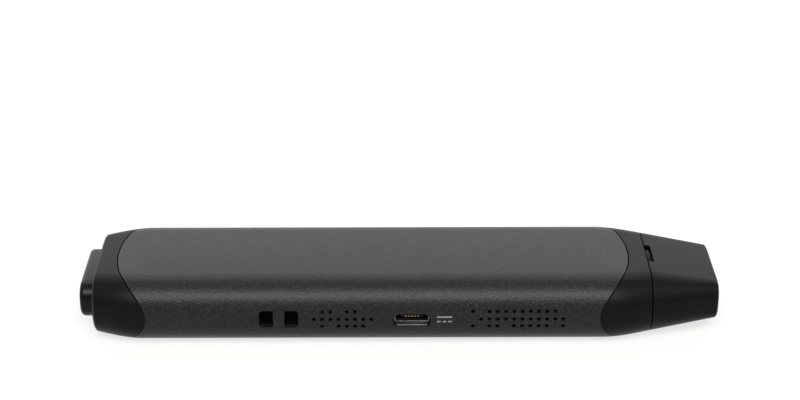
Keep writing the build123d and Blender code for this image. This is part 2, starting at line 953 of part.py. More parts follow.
with BuildPart() as power_shell:
    with BuildSketch(upright(power_front_y)):
        with Locations((power_x, -power_drop)):
            add(power_outline(power_shell_width, power_shell_height, power_shell_shoulder))
            add(
                power_outline(
                    power_shell_width - 2 * power_shell_wall,
                    power_shell_height - 2 * power_shell_wall,
                    power_shell_shoulder - power_shell_wall / 2,
                ),
                mode=Mode.SUBTRACT,
            )
    extrude(amount=-power_shell_length)

with BuildPart() as power_tongue:
    with BuildSketch(upright(power_front_y + power_shell_length - power_back_length)):
        with Locations((power_x, -power_drop)):
            add(
                power_outline(
                    power_shell_width - 2 * power_shell_wall,
                    power_shell_height - 2 * power_shell_wall,
                    power_shell_shoulder - power_shell_wall / 2,
                )
            )
    extrude(amount=-power_back_length)
    with BuildSketch(upright(power_front_y + power_shell_length - power_back_length)):
        with Locations((power_x, -power_drop + power_tongue_height / 2)):
            Rectangle(power_tongue_width, power_tongue_height)
    extrude(amount=power_tongue_length)

with BuildPart() as power_riser:
    with BuildSketch(Plane.XY.offset(board_top_z)):
        with Locations((power_x, power_riser_y)):
            Rectangle(power_shell_width, power_riser_length)
    extrude(amount=axis_z - power_drop - power_shell_height / 2 - board_top_z)


# HDMI plug

with BuildPart() as hdmi_plug_shell:
    with BuildSketch(across(board_front_x)):
        add(plug_outline())
        add(plug_outline(-plug_shell_wall), mode=Mode.SUBTRACT)
    extrude(amount=plug_tip_x - board_front_x)
    with BuildSketch(Plane.XY):
        with Locations((plug_tip_x - plug_hole_setback, 0)):
            with GridLocations(plug_hole_spacing, plug_hole_spacing, 1, 2):
                Rectangle(plug_hole_length, plug_hole_width)
    extrude(amount=case_height, mode=Mode.SUBTRACT)

with BuildPart() as hdmi_plug_insert:
    with BuildSketch(across(board_front_x)):
        add(plug_outline(-plug_shell_wall))
    extrude(amount=plug_tip_x - plug_shell_wall - board_front_x)
    with BuildSketch(across(plug_slot_x)):
        Rectangle(plug_slot_width, plug_slot_height)
    extrude(amount=plug_insert_depth, mode=Mode.SUBTRACT)

with BuildPart() as hdmi_plug_base:
    with BuildSketch(Plane.XY.offset(board_top_z)):
        with Locations((board_front_x - plug_body_length / 2, 0)):
            Rectangle(plug_body_length, plug_body_width)
    extrude(amount=axis_z + plug_height / 2 + plug_body_rim - board_top_z)

with BuildPart() as hdmi_contacts:
    with BuildSketch(across(plug_slot_x)):
        for level, count in (
            (plug_slot_height - plug_contact_height, plug_contact_count // 2 + 1),
            (plug_contact_height - plug_slot_height, plug_contact_count // 2),
        ):
            with Locations((0, level / 2)):
                with GridLocations(2 * plug_contact_pitch, plug_slot_height, count, 1):
                    Rectangle(plug_contact_width, plug_contact_height)
    extrude(amount=plug_contact_length)


# Switch behind the power button

with BuildPart() as button_switch:
    with BuildSketch(Plane.XY.offset(board_top_z)):
        with Locations((board_rear_x + switch_length / 2, 0)):
            Rectangle(switch_length, switch_width)
    extrude(amount=switch_height)
    with BuildSketch(across(board_rear_x)):
        with Locations((0, switch_level)):
            Rectangle(plunger_width + 2 * plunger_gap, plunger_height + 2 * plunger_gap)
    extrude(amount=button_travel + 2 * plunger_gap, mode=Mode.SUBTRACT)

with BuildPart() as switch_plunger:
    with BuildSketch(across(plunger_tip_x)):
        with Locations((0, switch_level)):
            Rectangle(plunger_width, plunger_height)
    extrude(amount=plunger_length + plunger_gap)


# Fan: a blower in a volute that grows towards its outlet, on the sleeve's
# power-socket side


def volute_outline(grow=0):
    """The volute seen from above, grown by its wall's thickness."""
    left = fan_x - volute_radius - grow
    right = fan_x + volute_radius + volute_growth + grow
    with BuildSketch() as outline:
        with BuildLine():
            CenterArc((fan_x, fan_y), volute_radius + grow, 90, 90)
            CenterArc(
                (fan_x, fan_y - volute_growth), volute_radius + volute_growth + grow, 0, 90
            )
            Line((right, fan_y - volute_growth), (right, fan_outlet_y))
            Line((right, fan_outlet_y), (left, fan_outlet_y))
            Line((left, fan_outlet_y), (left, fan_y))
        make_face()
    return outline.sketch


def fan_tube(outer_diameter, inner_diameter, base_z, height):
    """A ring about the fan's axis."""
    with BuildPart() as tube:
        with BuildSketch(Plane.XY.offset(base_z)):
            with Locations((fan_x, fan_y)):
                Circle(outer_diameter / 2)
                if inner_diameter > 0:
                    Circle(inner_diameter / 2, mode=Mode.SUBTRACT)
        extrude(amount=height)
    return tube


with BuildPart() as fan_case:
    with BuildSketch(Plane.XY.offset(fan_floor_z)):
        add(volute_outline(fan_wall))
    extrude(amount=fan_height)
    with BuildSketch(Plane.XY.offset(fan_floor_z + fan_base)):
        add(volute_outline())
    extrude(amount=fan_height, mode=Mode.SUBTRACT)

with BuildPart() as fan_cover:
    with BuildSketch(Plane.XY.offset(fan_top_z)):
        add(volute_outline(fan_wall))
        with Locations((fan_x, fan_y)):
            Circle(fan_intake_diameter / 2, mode=Mode.SUBTRACT)
    extrude(amount=fan_cover_thickness)

fan_bearing = fan_tube(
    bearing_diameter,
    shaft_diameter + 2 * shaft_gap,
    fan_floor_z + fan_base,
    bearing_length,
)
fan_shaft = fan_tube(
    shaft_diameter,
    0,
    fan_floor_z + fan_base + plunger_gap,
    hub_roof_z - fan_floor_z - fan_base - plunger_gap,
)
fan_magnet = fan_tube(
    hub_diameter - 2 * hub_wall,
    hub_diameter - 2 * hub_wall - 2 * magnet_thickness,
    hub_roof_z - magnet_height,
    magnet_height,
)

with BuildPart() as fan_stator:
    with BuildSketch(Plane.XY.offset(rotor_z)):
        with Locations((fan_x, fan_y)):
            Circle(stator_diameter / 2)
            Circle(bearing_diameter / 2, mode=Mode.SUBTRACT)
            with PolarLocations(stator_diameter / 2, stator_pole_count):
                Rectangle(stator_slot_width, stator_slot_width, mode=Mode.SUBTRACT)
    extrude(amount=stator_height)

with BuildSketch() as blade:
    with BuildLine():
        ThreePointArc(
            (hub_diameter / 2 - hub_wall / 2, 0),
            blade_middle,
            blade_tip,
        )
    trace(line_width=blade_thickness)

with BuildPart() as fan_impeller:
    with BuildSketch(Plane.XY.offset(rotor_z)):
        with Locations((fan_x, fan_y)):
            Circle(hub_diameter / 2)
            with PolarLocations(0, blade_count):
                add(blade.sketch)
    extrude(amount=blade_height)
    with BuildSketch(Plane.XY.offset(rotor_z)):
        with Locations((fan_x, fan_y)):
            Circle(hub_diameter / 2 - hub_wall)
    extrude(amount=blade_height - hub_wall, mode=Mode.SUBTRACT)


# Cooling fins in front of the fan's outlet, hung from the heat spreader

with BuildPart() as cooling_fins:
    with BuildSketch(upright(fin_front_y)):
        with Locations((fan_x, spreader_z - axis_z - fin_thickness / 2)):
            Rectangle(fin_pitch * (fin_count - 1) + fin_thickness, fin_thickness)
        with Locations((fan_x, (spreader_z + fan_floor_z) / 2 - axis_z)):
            with GridLocations(fin_pitch, fin_pitch, fin_count, 1):
                Rectangle(fin_thickness, spreader_z - fan_floor_z)
    extrude(amount=-fin_depth)

with BuildPart() as heat_spreader:
    with BuildSketch(Plane.XY.offset(spreader_z)):
        with Locations((spreader_middle_x, 0)):
            RectangleRounded(
                spreader_front_x - spreader_rear_x, spreader_width, spreader_corner_radius
            )
        with Locations((fan_x, fan_y)):
            Circle(fan_intake_diameter / 2, mode=Mode.SUBTRACT)
        with Locations((screw_centre_x, 0)):
            with GridLocations(screw_pitch_x, screw_pitch_y, 2, 2):
                Circle(board_hole_diameter / 2, mode=Mode.SUBTRACT)
    extrude(amount=spreader_thickness)
    with BuildSketch(Plane.XY.offset(pocket_floor_z)):
        with Locations((processor_x, processor_y)):
            RectangleRounded(pocket_size, pocket_size, 2 * pocket_wall)
    extrude(amount=spreader_z - pocket_floor_z)
    with BuildSketch(Plane.XY.offset(pocket_floor_z + pocket_wall)):
        with Locations((processor_x, processor_y)):
            RectangleRounded(
                pocket_size - 2 * pocket_wall, pocket_size - 2 * pocket_wall, pocket_wall
            )
    extrude(amount=spreader_z, mode=Mode.SUBTRACT)

with BuildPart() as standoffs:
    with BuildSketch(Plane.XY.offset(board_top_z)):
        with Locations((screw_centre_x, 0)):
            with GridLocations(screw_pitch_x, screw_pitch_y, 2, 2):
                Circle(standoff_diameter / 2)
                Circle(board_hole_diameter / 2, mode=Mode.SUBTRACT)
    extrude(amount=spreader_z - board_top_z)

with BuildPart() as spreader_screws:
    with BuildSketch(Plane.XY.offset(spreader_z + spreader_thickness)):
        with Locations((screw_centre_x, 0)):
            with GridLocations(screw_pitch_x, screw_pitch_y, 2, 2):
                Circle(screw_head_diameter / 2)
    extrude(amount=screw_head_height)
    with BuildSketch(Plane.XY.offset(board_bottom_z - screw_bite)):
        with Locations((screw_centre_x, 0)):
            with GridLocations(screw_pitch_x, screw_pitch_y, 2, 2):
                Circle(screw_diameter / 2)
    extrude(amount=spreader_z + spreader_thickness - board_bottom_z + screw_bite)
    with BuildSketch(Plane.XY.offset(spreader_z + spreader_thickness + screw_head_height)):
        with Locations((screw_centre_x, 0)):
            with GridLocations(screw_pitch_x, screw_pitch_y, 2, 2):
                Rectangle(screw_socket_length, screw_socket_width)
                Rectangle(screw_socket_width, screw_socket_length)
    extrude(amount=-screw_socket_depth, mode=Mode.SUBTRACT)


# Chips and small parts on the board


def chip(x, y, length, width, height, base_z=board_top_z):
    """A flat package."""
    with BuildPart() as package:
        with BuildSketch(Plane.XY.offset(base_z)):
            with Locations((x, y)):
                Rectangle(length, width)
        extrude(amount=height)
    return package


def chip_row(x, y, length, width, height, pitch_x, pitch_y, count_x, count_y):
    """Like packages in a row."""
    with BuildPart() as packages:
        with BuildSketch(Plane.XY.offset(board_top_z)):
            with Locations((x, y)):
                with GridLocations(pitch_x, pitch_y, count_x, count_y):
                    Rectangle(length, width)
        extrude(amount=height)
    return packages


processor = chip(
    processor_x, processor_y, processor_size, processor_size, processor_height
)
thermal_pad = chip(
    processor_x,
    processor_y,
    processor_size,
    processor_size,
    thermal_pad_thickness,
    board_top_z + processor_height,
)
storage_chip = chip(storage_x, storage_y, storage_length, storage_width, storage_height)
power_chip = chip(
    power_chip_x, power_chip_y, power_chip_size, power_chip_size, power_chip_height
)
wifi_module = chip(wifi_x, wifi_y, wifi_length, wifi_width, wifi_height)
memory_chips = chip_row(
    memory_x,
    memory_y,
    memory_length,
    memory_width,
    memory_height,
    memory_pitch,
    memory_pitch,
    memory_count,
    1,
)
coils = chip_row(
    coil_x, coil_y, coil_size, coil_size, coil_height, coil_pitch, coil_pitch, 1, coil_count
)
antennas = chip_row(
    antenna_x,
    0,
    antenna_length,
    antenna_width,
    antenna_height,
    antenna_spacing,
    antenna_spacing,
    1,
    2,
)
capacitors = chip_row(
    capacitor_x,
    0,
    capacitor_length,
    capacitor_width,
    capacitor_height,
    capacitor_pitch,
    capacitor_pitch,
    1,
    capacitor_count,
)


# Writes one STEP file for each piece

pieces = {
    "outer_sleeve": outer_sleeve,
    "front_collar": front_collar,
    "hdmi_cap": hdmi_cap,
    "rear_housing": rear_housing,
    "power_button": power_button,
    "chassis_tray": chassis_tray,
    "main_board": main_board,
    "usb3_shell": usb3_shell,
    "usb2_shell": usb2_shell,
    "usb3_tongue": usb3_tongue,
    "usb2_tongue": usb2_tongue,
    "usb3_contacts": usb3_contacts,
    "usb2_contacts": usb2_contacts,
    "audio_jack": audio_jack,
    "jack_ring": jack_ring,
    "jack_contact": jack_contact,
    "power_shell": power_shell,
    "power_tongue": power_tongue,
    "power_riser": power_riser,
    "hdmi_plug_shell": hdmi_plug_shell,
    "hdmi_plug_insert": hdmi_plug_insert,
    "hdmi_plug_base": hdmi_plug_base,
    "hdmi_contacts": hdmi_contacts,
    "button_switch": button_switch,
    "switch_plunger": switch_plunger,
    "fan_case": fan_case,
    "fan_cover": fan_cover,
    "fan_bearing": fan_bearing,
    "fan_shaft": fan_shaft,
    "fan_magnet": fan_magnet,
    "fan_stator": fan_stator,
    "fan_impeller": fan_impeller,
    "cooling_fins": cooling_fins,
    "heat_spreader": heat_spreader,
    "standoffs": standoffs,
    "spreader_screws": spreader_screws,
    "processor": processor,
    "thermal_pad": thermal_pad,
    "storage_chip": storage_chip,
    "power_chip": power_chip,
    "wifi_module": wifi_module,
    "memory_chips": memory_chips,
    "coils": coils,
    "antennas": antennas,
    "capacitors": capacitors,
}

os.makedirs("parts", exist_ok=True)
for name, piece in pieces.items():
    piece.part.label = name
    export_step(piece.part, f"parts/{name}.step")
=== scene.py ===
# %% [markdown]
# An HDMI stick computer, lying on a white table.
#
# The stick is a painted sleeve with a black housing at each end. One end has a pull-off cap over
# the HDMI plug, and the other a push button. The CAD model already holds every piece at its real
# size, so this script only gives each piece its finish, its fine edges, and its light.

import json
import math

import bmesh
import bpy
from mathutils import Matrix, Vector
from mathutils.bvhtree import BVHTree


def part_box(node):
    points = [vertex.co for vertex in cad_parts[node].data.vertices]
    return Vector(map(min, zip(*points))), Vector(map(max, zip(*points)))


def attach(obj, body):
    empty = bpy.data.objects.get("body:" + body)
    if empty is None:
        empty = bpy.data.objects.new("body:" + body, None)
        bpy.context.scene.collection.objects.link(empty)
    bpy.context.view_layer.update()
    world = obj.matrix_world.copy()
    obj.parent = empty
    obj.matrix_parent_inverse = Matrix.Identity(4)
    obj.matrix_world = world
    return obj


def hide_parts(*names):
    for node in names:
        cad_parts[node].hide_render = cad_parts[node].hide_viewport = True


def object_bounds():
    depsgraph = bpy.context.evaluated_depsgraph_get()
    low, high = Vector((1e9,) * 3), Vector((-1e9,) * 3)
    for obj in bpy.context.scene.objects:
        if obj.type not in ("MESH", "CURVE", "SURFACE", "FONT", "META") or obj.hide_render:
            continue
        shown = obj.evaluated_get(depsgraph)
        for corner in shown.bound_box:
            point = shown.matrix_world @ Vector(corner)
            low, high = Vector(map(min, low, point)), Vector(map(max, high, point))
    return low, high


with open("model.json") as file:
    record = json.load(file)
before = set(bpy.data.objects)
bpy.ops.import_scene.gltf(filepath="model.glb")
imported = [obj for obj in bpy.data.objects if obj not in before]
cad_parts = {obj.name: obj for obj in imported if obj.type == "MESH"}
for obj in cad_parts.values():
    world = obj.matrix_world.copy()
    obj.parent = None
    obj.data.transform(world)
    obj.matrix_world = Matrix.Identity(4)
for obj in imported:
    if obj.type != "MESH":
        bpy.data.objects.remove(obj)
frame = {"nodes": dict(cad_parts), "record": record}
nodes = frame["nodes"]
body_of_node = {
    name: body
    for body, names in frame["record"]["behaviour"]["bodies"].items()
    for name in names
}
slot_of_node = {part["node"]: part["material_slot"] for part in frame["record"]["subparts"]}
cad_box = [list(corner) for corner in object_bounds()]

MM = 0.001
LOW = Vector(cad_box[0])
HIGH = Vector(cad_box[1])
MIDDLE = (LOW + HIGH) / 2
print("CAD box in mm", [round(side / MM, 1) for side in HIGH - LOW])

# %% [markdown]
# The camera first, because everything else is judged through it.
#
# The photograph was taken with a long lens from the side with the power socket, about 29 degrees
# above the table. The stick lies low in the picture, so the camera looks a little above it. The
# lens is worked out from the focal length in pixels, which is the same fact in another unit.

# %% Camera
PHOTO_WIDTH = 800
PHOTO_HEIGHT = 400
FOCAL_PIXELS = 1795
STICK_PIXEL = (398.9, 281.0)
CAMERA_DISTANCE = 397 * MM
CAMERA_ELEVATION = math.radians(28.8)
CAMERA_YAW = math.radians(-0.3)
SENSOR = 36.0


def look_along(elevation, yaw):
    """The unit vector from the stick to the camera."""
    flat = math.cos(elevation)
    return Vector((flat * math.sin(yaw), -flat * math.cos(yaw), math.sin(elevation)))


camera_data = bpy.data.cameras.new("camera")
camera_data.sensor_width = SENSOR
camera_data.lens = FOCAL_PIXELS / PHOTO_WIDTH * SENSOR
camera_data.clip_start = 10 * MM
camera_data.clip_end = 20.0
camera = bpy.data.objects.new("camera", camera_data)
bpy.context.scene.collection.objects.link(camera)
to_camera = look_along(CAMERA_ELEVATION, CAMERA_YAW)
camera.location = MIDDLE + to_camera * CAMERA_DISTANCE
tilt_up = math.atan((STICK_PIXEL[1] - PHOTO_HEIGHT / 2) / FOCAL_PIXELS)
turn_left = math.atan((PHOTO_WIDTH / 2 - STICK_PIXEL[0]) / FOCAL_PIXELS)
aim = (-to_camera).to_track_quat("-Z", "Y").to_matrix().to_4x4()
aim = aim @ Matrix.Rotation(tilt_up, 4, "X") @ Matrix.Rotation(-turn_left, 4, "Y")
camera.rotation_euler = aim.to_euler()
bpy.context.scene.camera = camera
bpy.context.scene.view_settings.view_transform = "Standard"
print("lens", round(camera_data.lens, 1), "mm")

# %% [markdown]
# Shader maths reads best as plain sums. The small class below wraps a node's output, so that
# `0.3 + mask * 0.5` adds the Math nodes by itself. `node` adds any other node: its settings are
# set first, and then its inputs, which may be values or other outputs.


# %% A small shader language
class Value:
    """One output of a node, which can be used in sums."""

    def __init__(self, maker, socket):
        self.maker = maker
        self.socket = socket

    def maths(self, operation, *inputs):
        return self.maker.node("ShaderNodeMath", {"operation": operation}, inputs)

    def __add__(self, other):
        return self.maths("ADD", self, other)

    def __radd__(self, other):
        return self.maths("ADD", other, self)

    def __sub__(self, other):
        return self.maths("SUBTRACT", self, other)

    def __mul__(self, other):
        return self.maths("MULTIPLY", self, other)

    def __rmul__(self, other):
        return self.maths("MULTIPLY", other, self)

    def above(self, edge, softness):
        """0 below the edge and 1 above it, with a soft step between."""
        return self.maker.node(
            "ShaderNodeMapRange",
            {"interpolation_type": "SMOOTHSTEP"},
            {"Value": self, "From Min": edge - softness, "From Max": edge + softness},
        )


class Shading:
    """A node tree that values are added to."""

    def __init__(self, tree):
        self.tree = tree

    def join(self, value, socket):
        if isinstance(value, Value):
            self.tree.links.new(value.socket, socket)
        elif socket.type == "RGBA":
            socket.default_value = (*value[:3], 1.0)
        else:
            socket.default_value = value

    def node(self, kind, settings=None, inputs=None, output=0):
        made = self.tree.nodes.new(kind)
        for name, value in (settings or {}).items():
            setattr(made, name, value)
        pairs = inputs.items() if isinstance(inputs, dict) else enumerate(inputs or ())
        for key, value in pairs:
            self.join(value, made.inputs[key])
        return Value(self, made.outputs[output])


class Finish(Shading):
    """A material with a Principled shader, which a function below fills in."""

    def __init__(self, name, **settings):
        self.material = bpy.data.materials.new(name)
        self.material.use_nodes = True
        super().__init__(self.material.node_tree)
        self.shader = self.tree.nodes["Principled BSDF"]
        self.set(**settings)

    def set(self, **settings):
        for name, value in settings.items():
            label = name.replace("_", " ").title().replace("Ior", "IOR")
            self.join(value, self.shader.inputs[label])

    def place(self):
        """A point's place on the piece, in metres."""
        return self.node("ShaderNodeTexCoord", output="Object")

    def stretched_place(self, share):
        """The same place with X made shorter, so that a pattern on it runs long along X."""
        inputs = {"Vector": self.place(), "Scale": (share, 1.0, 1.0)}
        return self.node("ShaderNodeMapping", None, inputs)

    def noise(self, size, detail=2.0, rough=0.5):
        """Soft random spots of about the given size in metres, from 0 to 1."""
        return self.node(
            "ShaderNodeTexNoise",
            None,
            {"Vector": self.place(), "Scale": 1 / size, "Detail": detail, "Roughness": rough},
        )

    def grains(self, size):
        """One random grey for each grain of the given size."""
        inputs = {"Vector": self.place(), "Scale": 1 / size}
        cells = self.node("ShaderNodeTexVoronoi", None, inputs, output="Color")
        return self.node("ShaderNodeSeparateColor", None, {"Color": cells})

    def between(self, low, high, share):
        """A colour part of the way from one to another."""
        return self.node(
            "ShaderNodeMix",
            {"data_type": "RGBA"},
            {"Factor": share, 6: low, 7: high},
            output=2,
        )

    def bump(self, height, depth, strength):
        """A normal that makes the surface look uneven by about depth metres."""
        inputs = {"Height": height, "Distance": depth, "Strength": strength}
        return self.node("ShaderNodeBump", None, inputs, output="Normal")


# %% [markdown]
# The sleeve's paint is a dark warm grey with fine grains: each grain holds more or less metal, so
# it is lighter or darker, and a few flakes catch the light. It is matte, but a wide lamp still
# draws a soft band along the shoulder.


# %% Sleeve paint
PAINT_DARK = (0.0035, 0.0035, 0.0036)
PAINT_LIGHT = (0.014, 0.014, 0.0142)
PAINT_FLAKE = (0.05, 0.05, 0.05)
GRAIN = 0.2 * MM
GRAIN_METAL = 0.2
GRIT = 0.38 * MM
FLAKE_SHARE = 0.07


def sleeve_paint():
    paint = Finish("sleeve_paint", specular_ior_level=0.17)
    grain = paint.grains(GRAIN)
    flakes = paint.grains(0.7 * GRAIN)
    grit = paint.noise(GRIT, 1.0)
    wear = paint.noise(9 * MM, 3.0)
    tone = paint.between(PAINT_DARK, PAINT_LIGHT, 0.05 + 0.9 * grain + 0.1 * (wear - 0.5))
    sparkle = flakes.above(1 - FLAKE_SHARE, 0.04)
    paint.set(
        base_color=paint.between(tone, PAINT_FLAKE, sparkle * 0.5),
        metallic=GRAIN_METAL * grain,
        roughness=0.27 + 0.14 * grain + 0.05 * wear,
        normal=paint.bump(grit, 0.1 * MM, 0.6),
    )
    return paint.material


# %% [markdown]
# The end pieces are moulded in black plastic with a finer, silkier surface than the paint. The
# button is polished a little more, because fingers and the mould both leave it smoother.


# %% Black plastics
BLACK_DARK = (0.001, 0.001, 0.0011)
BLACK_LIGHT = (0.0035, 0.0035, 0.0036)


def moulded_black(name, roughness, level, texture_size=0.09 * MM, depth=0.004 * MM):
    plastic = Finish(name, specular_ior_level=level)
    texture = plastic.noise(texture_size, 2.0)
    haze = plastic.noise(14 * MM, 2.0)
    plastic.set(
        base_color=plastic.between(BLACK_DARK, BLACK_LIGHT, 0.3 + 0.4 * texture + 0.3 * haze),
        roughness=roughness - 0.04 + 0.05 * texture + 0.05 * haze,
        normal=plastic.bump(texture, depth, 0.6),
    )
    return plastic.material


# %% [markdown]
# Inside there are metals, coloured plastics, chips and a green board. Each gets the surface that
# its making leaves: drawn steel has fine lines along the metal, gold is smooth, chips have a
# sanded top, and the board shows its copper tracks as a faint raised pattern.


# %% Metals and inner plastics
def drawn_metal(name, color, roughness, line=0.05 * MM):
    metal = Finish(name, metallic=1.0)
    inputs = {"Vector": metal.stretched_place(0.08), "Scale": 1 / line, "Detail": 2.0}
    lines = metal.node("ShaderNodeTexNoise", None, inputs)
    smudge = metal.noise(3 * MM)
    darker = tuple(0.8 * part for part in color)
    metal.set(
        base_color=metal.between(darker, color, 0.4 + 0.6 * smudge),
        roughness=roughness + 0.12 * (lines - 0.5) + 0.08 * smudge,
        normal=metal.bump(lines, 0.003 * MM, 0.4),
    )
    return metal.material


def moulded(name, color, roughness, speck=0.12 * MM):
    plastic = Finish(name, specular_ior_level=0.4)
    texture = plastic.noise(speck)
    cloud = plastic.noise(4 * MM)
    darker = tuple(0.72 * part for part in color)
    plastic.set(
        base_color=plastic.between(darker, color, 0.25 + 0.35 * texture + 0.4 * cloud),
        roughness=roughness + 0.08 * (texture - 0.5),
        normal=plastic.bump(texture, 0.005 * MM, 0.5),
    )
    return plastic.material


def circuit_board():
    board = Finish("board_green", specular_ior_level=0.5)
    tracks = board.node(
        "ShaderNodeTexVoronoi",
        {"distance": "CHEBYCHEV", "feature": "F1"},
        {"Vector": board.stretched_place(0.35), "Scale": 1 / (1.1 * MM)},
    )
    copper = tracks.above(0.42, 0.04)
    board.set(
        base_color=board.between((0.012, 0.05, 0.03), (0.03, 0.13, 0.07), copper),
        roughness=0.34 + 0.12 * copper,
        normal=board.bump(copper, 0.02 * MM, 0.4),
    )
    return board.material


STEEL = (0.6, 0.6, 0.61)
finishes = {
    "sleeve_paint": sleeve_paint(),
    "black_plastic": moulded_black("black_plastic", 0.38, 0.08),
    "button_plastic": moulded_black("button_plastic", 0.24, 0.12, 0.2 * MM, 0.002 * MM),
    "tray_plastic": moulded_black("tray_plastic", 0.55, 0.1),
    "board_green": circuit_board(),
    "plated_steel": drawn_metal("plated_steel", STEEL, 0.26),
    "blue_plastic": moulded("blue_plastic", (0.004, 0.16, 0.36), 0.35),
    "gold_contact": drawn_metal("gold_contact", (0.83, 0.6, 0.24), 0.2),
    "copper": drawn_metal("copper", (0.75, 0.36, 0.2), 0.3),
    "bare_aluminium": drawn_metal("bare_aluminium", (0.72, 0.72, 0.73), 0.38, 0.1 * MM),
    "chip_black": moulded("chip_black", (0.022, 0.022, 0.024), 0.42),
    "grey_pad": moulded("grey_pad", (0.4, 0.42, 0.46), 0.8, 0.3 * MM),
    "ferrite": moulded("ferrite", (0.09, 0.09, 0.095), 0.6),
    "white_ceramic": moulded("white_ceramic", (0.74, 0.73, 0.69), 0.5),
    "tan_ceramic": moulded("tan_ceramic", (0.48, 0.34, 0.19), 0.45),
}
print(len(finishes), "finishes")

# %% [markdown]
# A CAD model hands over sharp, faceted pieces. Real mouldings have a fine radius on every edge,
# and that radius is what catches the light along a seam. So each piece that shows is copied, its
# loose triangles are joined, and a small bevel is run along its sharp edges. The stored normals
# belong to the loose triangles, so they are taken off and the shading is worked out anew. The
# copy replaces the plain node. Pieces that hardly show keep their own mesh and get a finish.


# %% Dress the pieces
SHARP = math.radians(28)
FLAT = math.radians(0.05)
WELD = 0.002 * MM


def placed(name, data):
    """A new object in the scene, with a mesh or a lamp as its data."""
    piece = bpy.data.objects.new(name, data)
    bpy.context.scene.collection.objects.link(piece)
    return piece


def apply_modifiers(piece):
    """Keep what the modifiers made as the piece's own mesh."""
    evaluated = piece.evaluated_get(bpy.context.evaluated_depsgraph_get())
    made = bpy.data.meshes.new_from_object(evaluated)
    piece.modifiers.clear()
    piece.data = made


def wear_finish(piece, finish):
    """Give a piece one finish, in place of what it had."""
    piece.data.materials.clear()
    piece.data.materials.append(finish)


def finished_copy(name, edge):
    """A smooth copy of a CAD piece with its sharp edges rounded by edge metres."""
    source = nodes[name]
    mesh = source.data.copy()
    mesh.name = "finished_" + name
    work = bmesh.new()
    work.from_mesh(mesh)
    bmesh.ops.remove_doubles(work, verts=work.verts, dist=WELD)
    bmesh.ops.dissolve_limit(work, angle_limit=FLAT, verts=work.verts, edges=work.edges)
    work.to_mesh(mesh)
    work.free()
    if mesh.has_custom_normals:
        mesh.attributes.remove(mesh.attributes["custom_normal"])
    mesh.polygons.foreach_set("use_smooth", [True] * len(mesh.polygons))
    mesh.set_sharp_from_angle(angle=SHARP)
    piece = placed("finished_" + name, mesh)
    bevel = piece.modifiers.new("edge", "BEVEL")
    bevel.width = edge
    bevel.segments = 2
    bevel.limit_method = "ANGLE"
    bevel.angle_limit = SHARP
    bevel.harden_normals = True
    bevel.miter_outer = "MITER_ARC"
    apply_modifiers(piece)
    wear_finish(piece, finishes[slot_of_node[name]])
    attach(piece, body_of_node[name])
    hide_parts(name)
    return piece


EDGES = {
    "outer_sleeve": 0.07 * MM,
    "front_collar": 0.2 * MM,
    "hdmi_cap": 0.14 * MM,
    "rear_housing": 0.2 * MM,
    "power_button": 0.1 * MM,
    "usb3_shell": 0.06 * MM,
    "usb2_shell": 0.06 * MM,
    "power_shell": 0.05 * MM,
    "hdmi_plug_shell": 0.08 * MM,
}
finished = {name: finished_copy(name, edge) for name, edge in EDGES.items()}
for name, node in nodes.items():
    if name not in finished:
        wear_finish(node, finishes[slot_of_node[name]])
print("rounded", len(finished), "pieces;", len(nodes) - len(finished), "keep their own mesh")

# %% [markdown]
# Some socket parts are darker than their kind: the shells' steel is darkened as painted shade,
# so that the socket mouths read dim, the jack's ring is plated black, and the power socket's
# tongue is black too.


# %% Darker socket parts, the shells with painted shade
socket_black = moulded_black("socket_black", 0.45, 0.2)
# A darker copy of plated steel: painted shade for the shells inside the socket mouths.
shaded_steel = drawn_metal("shaded_steel", (0.27, 0.27, 0.275), 0.4)
black_nickel = drawn_metal("black_nickel", (0.035, 0.035, 0.037), 0.3)
socket_finishes = {
    nodes["power_tongue"]: socket_black,
    nodes["jack_ring"]: black_nickel,
    finished["power_shell"]: shaded_steel,
    finished["usb3_shell"]: shaded_steel,
    finished["usb2_shell"]: shaded_steel,
}
for piece, finish in socket_finishes.items():
    wear_finish(piece, finish)
print("duller", [piece.name for piece in socket_finishes])

# %% [markdown]
# The power socket's steel shell ends in a flared lip, which guides the plug in and catches the
# light at the bottom of the mouth. It is a thin plate that bends down a little towards the
# outside: a small grid is bent by a smooth step, then given its thickness and a fine edge.


# %% Lip of the power socket
LIP_WIDTH = 6.7 * MM
LIP_THICKNESS = 0.2 * MM
LIP_DROP = 0.12 * MM
LIP_SETBACK = 0.2 * MM
LIP_ROWS = 6
LIP_CORNER_POWER = 6


def smooth_step(share):
    """A level start, a slope and a level end, from 0 to 1."""
    return share * share * (3 - 2 * share)


def socket_lip(name, node):
    """A plate from inside the socket to just short of the stick's side; only its end narrows."""
    low, high = (Vector(corner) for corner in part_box(node))
    start_y, end_y = low.y + LIP_THICKNESS, LOW.y + LIP_SETBACK
    middle_x = (low.x + high.x) / 2
    corners = []
    for row in range(LIP_ROWS):
        share = row / (LIP_ROWS - 1)
        drop = LIP_DROP * smooth_step(share)
        narrow = LIP_THICKNESS * share**LIP_CORNER_POWER
        for side in (-1, 1):
            x = middle_x + side * (LIP_WIDTH / 2 - narrow)
            y = start_y + (end_y - start_y) * share
            corners.append((x, y, low.z + LIP_THICKNESS / 2 - drop))
    faces = [(2 * row, 2 * row + 1, 2 * row + 3, 2 * row + 2) for row in range(LIP_ROWS - 1)]
    mesh = bpy.data.meshes.new(name)
    mesh.from_pydata(corners, [], faces)
    # The lip wears the same darkened steel, painted shade for the bottom of the socket's mouth.
    mesh.materials.append(shaded_steel)
    lip = placed(name, mesh)
    plate = lip.modifiers.new("plate", "SOLIDIFY")
    plate.thickness = LIP_THICKNESS
    plate.offset = 0.0
    edge = lip.modifiers.new("edge", "BEVEL")
    edge.width = LIP_THICKNESS / 3
    edge.segments = 2
    apply_modifiers(lip)
    work = bmesh.new()
    work.from_mesh(lip.data)
    bmesh.ops.recalc_face_normals(work, faces=work.faces)
    work.to_mesh(lip.data)
    work.free()
    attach(lip, body_of_node[node])
    return lip


